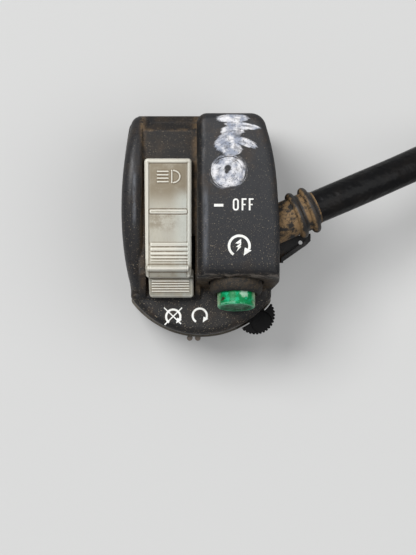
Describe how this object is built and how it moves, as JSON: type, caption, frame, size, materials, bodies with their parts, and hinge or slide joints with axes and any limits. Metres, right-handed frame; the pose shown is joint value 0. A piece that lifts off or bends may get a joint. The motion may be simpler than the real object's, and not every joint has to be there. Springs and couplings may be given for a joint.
{
  "type": "handlebar switch cluster",
  "caption": "Motorcycle handlebar switch housing with a light slider, a sprung start button, a thumb-run engine stop slider and a coiled loom with its plug.",
  "frame": {"origin": "the middle of the handlebar that the two casings clamp, midway along the saddles to within a tenth of a millimetre", "axes": "+X along the handlebar towards the side with the cable, +Y up the switch face, +Z out of the switch face; the part lies on its back on the flat of the rear casing at z = -0.017"},
  "size_m": [0.2244, 0.1132, 0.0475],
  "materials": {
    "black_plastic": "moulded, worn and dusty",
    "screw_steel": "zinc plated",
    "contact_brass": "plain",
    "slider_plastic": "aged, soiled",
    "board_laminate": "pressed laminate",
    "button_green": "worn",
    "black_rubber": "dusty",
    "bracket_paint": "satin black",
    "wire_vinyl": "insulated wire",
    "loom_vinyl": "vinyl sleeve",
    "tie_nylon": "nylon",
    "connector_nylon": "natural nylon"
  },
  "bodies": {
    "housing": {"front_casing": "black_plastic", "rear_casing": "black_plastic", "clamp_screws": "screw_steel", "threaded_inserts": "contact_brass", "light_board": "board_laminate", "light_contacts": "contact_brass", "board_screws": "screw_steel", "button_boot": "black_rubber", "start_holder": "black_plastic", "holder_screw": "screw_steel", "start_base": "board_laminate", "start_contacts": "contact_brass", "start_return_spring": "screw_steel", "stop_guide_plate": "board_laminate", "stop_contacts": "contact_brass", "stop_plate_screws": "screw_steel", "cable_grommet": "black_rubber", "cable_guard": "bracket_paint", "guard_screw": "screw_steel", "inner_wires": "wire_vinyl", "loom_stretch": "loom_vinyl", "loom_coil": "loom_vinyl", "loom_tie": "tie_nylon", "connector_seal": "black_rubber", "connector_housing": "connector_nylon", "connector_pins": "contact_brass"},
    "light_switch": {"light_slider": "slider_plastic", "slider_carriage": "black_plastic", "slider_bridge": "contact_brass", "slider_detent_ball": "screw_steel", "slider_detent_spring": "screw_steel"},
    "start_switch": {"start_button": "button_green", "start_stem": "button_green", "start_clip": "screw_steel", "start_disc": "contact_brass"},
    "stop_switch": {"stop_slider": "black_plastic", "stop_bridge": "contact_brass", "stop_detent_ball": "screw_steel", "stop_detent_spring": "screw_steel"}
  },
  "joints": [
    {"name": "light_slide", "type": "slide", "parent": "housing", "child": "light_switch", "axis": [0, 1, 0], "range_m": [0, 0.009]},
    {"name": "start_press", "type": "slide", "parent": "housing", "child": "start_switch", "axis": [0, 0.9767, -0.2147], "range_m": [0, 0.002], "stiffness_N_per_m": 400, "springref_m": -0.004, "deforming": ["start_return_spring"]},
    {"name": "stop_slide", "type": "hinge", "parent": "housing", "child": "stop_switch", "pos_m": [0.0003, -0.0108, 0], "axis": [0, 0, 1], "range_deg": [-22, 0]}
  ]
}
